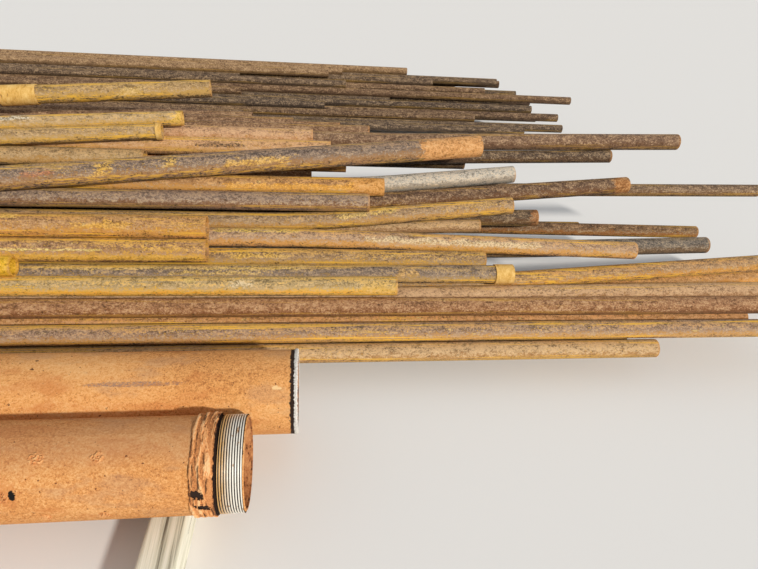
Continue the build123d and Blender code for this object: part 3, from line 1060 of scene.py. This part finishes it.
def is_clear(y, z, taken):
    """True where a tube at y, z stays off every pipe of the heap."""
    reach = TUBING_RADIUS + HIDDEN_GAP
    return all(math.hypot(y - at_y, z - at_z) > reach + radius for at_y, at_z, radius in taken)


def roof_at(y, taken):
    """Height of the highest pipe axis close to y."""
    return max((at_z for at_y, at_z, radius in taken if abs(at_y - y) < ROOF_REACH), default=0.0)


def add_tube(points, faces, left, right, y, z):
    """Adds an open tube with wall thickness to points and faces."""
    count = 20
    base = len(points)
    inner = TUBING_RADIUS - TUBING_WALL
    for x, radius in ((left, TUBING_RADIUS), (right, TUBING_RADIUS), (right, inner), (left, inner)):
        for angle in round_places(count):
            points.append(on_circle(x, y, z, radius, angle))
    for ring in range(4):
        here = base + ring * count
        following = base + (ring + 1) % 4 * count
        for i in range(count):
            after = (i + 1) % count
            faces.append((here + i, here + after, following + after, following + i))


def islands(mesh):
    """The points of each separate solid in a mesh."""
    parent = list(range(len(mesh.vertices)))

    def root(i):
        while parent[i] != i:
            parent[i] = parent[parent[i]]
            i = parent[i]
        return i

    places = {}
    for vertex in mesh.vertices:
        key = tuple(round(value, 6) for value in vertex.co)
        parent[root(vertex.index)] = root(places.setdefault(key, vertex.index))
    for edge in mesh.edges:
        parent[root(edge.vertices[0])] = root(edge.vertices[1])
    groups = {}
    for vertex in mesh.vertices:
        groups.setdefault(root(vertex.index), []).append(vertex.co)
    return list(groups.values())


# The camera: its height, pitch down, turn to the right and roll in degrees, and its focal length in pixels
# for a picture as wide as the photograph
CAMERA_HEIGHT = 1.313
CAMERA_PITCH = 35.15
CAMERA_TURN = 8.51
CAMERA_ROLL = 4.90
FOCAL_LENGTH = 569.5
PICTURE_WIDTH = 758
SENSOR_WIDTH = 36.0

# The studio: the sun's heading, strength, width in degrees and colour, the sky, the backdrop and the floor
SUN_HEADING = (-0.55, 0.68, -0.47)
SUN_STRENGTH = 2.95
SUN_WIDTH = 4
SUN_COLOUR = (1.0, 0.96, 0.90)
SKY_STRENGTH = 0.47
SKY_COLOUR = (0.92, 0.95, 1.0, 1.0)
BACKDROP_STRENGTH = 0.9
FLOOR_REACH = 60.0


class PILE_OT_stage(bpy.types.Operator):
    """Make the floor, the lights and the camera"""

    bl_idname = "pile.stage"
    bl_label = "Set the stage"

    def execute(self, context):
        colour = tuple(context.scene.pipe_pile_colours.floor)
        self.floor(colour)
        self.sun()
        self.world(colour)
        self.camera()
        context.scene.view_settings.view_transform = "Standard"
        return {"FINISHED"}

    def floor(self, colour):
        mesh = bpy.data.meshes.new("floor")
        corners = [(x * FLOOR_REACH, y * FLOOR_REACH, 0) for x, y in ((-1, -1), (1, -1), (1, 1), (-1, 1))]
        mesh.from_pydata(corners, [], [(0, 1, 2, 3)])
        mesh.materials.append(even_paint("floor_paint", colour))
        floor = bpy.data.objects.new("floor", mesh)
        bpy.context.scene.collection.objects.link(floor)

    def sun(self):
        """A soft, slightly warm sun from the front right."""
        sun = bpy.data.lights.new("sun", "SUN")
        sun.energy = SUN_STRENGTH
        sun.angle = math.radians(SUN_WIDTH)
        sun.color = SUN_COLOUR
        lamp = bpy.data.objects.new("sun", sun)
        lamp.rotation_mode = "QUATERNION"
        lamp.rotation_quaternion = Vector(SUN_HEADING).to_track_quat("-Z", "Y")
        bpy.context.scene.collection.objects.link(lamp)

    def world(self, colour):
        """A dim sky for light, and a backdrop in the floor's colour that the camera and reflections see."""
        world = bpy.data.worlds.new("studio")
        world.use_nodes = True
        tree = world.node_tree
        sky = tree.nodes["Background"]
        sky.inputs["Color"].default_value = SKY_COLOUR
        sky.inputs["Strength"].default_value = SKY_STRENGTH
        backdrop = tree.nodes.new("ShaderNodeBackground")
        backdrop.inputs["Color"].default_value = colour
        backdrop.inputs["Strength"].default_value = BACKDROP_STRENGTH
        rays = tree.nodes.new("ShaderNodeLightPath")
        seen = rays.outputs["Is Camera Ray"]
        for kind in ("Is Glossy Ray", "Is Transmission Ray"):
            most = tree.nodes.new("ShaderNodeMath")
            most.operation = "MAXIMUM"
            tree.links.new(seen, most.inputs[0])
            tree.links.new(rays.outputs[kind], most.inputs[1])
            seen = most.outputs[0]
        either = tree.nodes.new("ShaderNodeMixShader")
        tree.links.new(seen, either.inputs[0])
        tree.links.new(sky.outputs[0], either.inputs[1])
        tree.links.new(backdrop.outputs[0], either.inputs[2])
        tree.links.new(either.outputs[0], tree.nodes["World Output"].inputs["Surface"])
        bpy.context.scene.world = world

    def camera(self):
        """A camera at the photograph's place and angle."""
        pitch = math.radians(CAMERA_PITCH)
        turn = math.radians(CAMERA_TURN)
        roll = math.radians(CAMERA_ROLL)
        level_ahead = math.cos(pitch)
        ahead = Vector((math.sin(turn) * level_ahead, math.cos(turn) * level_ahead, -math.sin(pitch)))
        level = Vector((math.cos(turn), -math.sin(turn), 0))
        down = ahead.cross(level)
        right = level * math.cos(roll) - down * math.sin(roll)
        below = level * math.sin(roll) + down * math.cos(roll)
        lens = bpy.data.cameras.new("camera")
        lens.sensor_width = SENSOR_WIDTH
        lens.lens = SENSOR_WIDTH * FOCAL_LENGTH / PICTURE_WIDTH
        lens.clip_start = 0.05
        lens.clip_end = 500
        camera = bpy.data.objects.new("camera", lens)
        turned = Matrix((right, -below, -ahead)).transposed().to_4x4()
        camera.matrix_world = Matrix.Translation(LAYOUT + Vector((0, 0, CAMERA_HEIGHT))) @ turned
        bpy.context.scene.collection.objects.link(camera)
        bpy.context.scene.camera = camera


STEPS = (
    PILE_OT_casings,
    PILE_OT_threads,
    PILE_OT_collar,
    PILE_OT_scabs,
    PILE_OT_mouth,
    PILE_OT_lip,
    PILE_OT_tubing,
    PILE_OT_slim_pipes,
    PILE_OT_rings,
    PILE_OT_sleepers,
    PILE_OT_hidden_pipes,
    PILE_OT_stage,
)


class PILE_PT_panel(bpy.types.Panel):
    """The sizes, the colours and the steps that dress the pile, in order"""

    bl_label = "Pipe Pile"
    bl_idname = "PILE_PT_panel"
    bl_space_type = "VIEW_3D"
    bl_region_type = "UI"
    bl_category = "Pipe Pile"

    def draw(self, context):
        for group in (context.scene.pipe_pile_sizes, context.scene.pipe_pile_colours):
            for name in group.bl_rna.properties.keys():
                if name not in ("rna_type", "name"):
                    self.layout.prop(group, name)
        for step in STEPS:
            self.layout.operator(step.bl_idname)


CLASSES = (PileSizes, PileColours) + STEPS + (PILE_PT_panel,)


def register():
    for made in CLASSES:
        bpy.utils.register_class(made)
    bpy.types.Scene.pipe_pile_sizes = bpy.props.PointerProperty(type=PileSizes)
    bpy.types.Scene.pipe_pile_colours = bpy.props.PointerProperty(type=PileColours)


def unregister():
    del bpy.types.Scene.pipe_pile_colours
    del bpy.types.Scene.pipe_pile_sizes
    for made in reversed(CLASSES):
        bpy.utils.unregister_class(made)


def main():
    """Dresses the pile step by step."""
    register()
    for step in STEPS:
        group, name = step.bl_idname.split(".")
        getattr(getattr(bpy.ops, group), name)()
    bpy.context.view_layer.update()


if __name__ == "__main__":
    main()
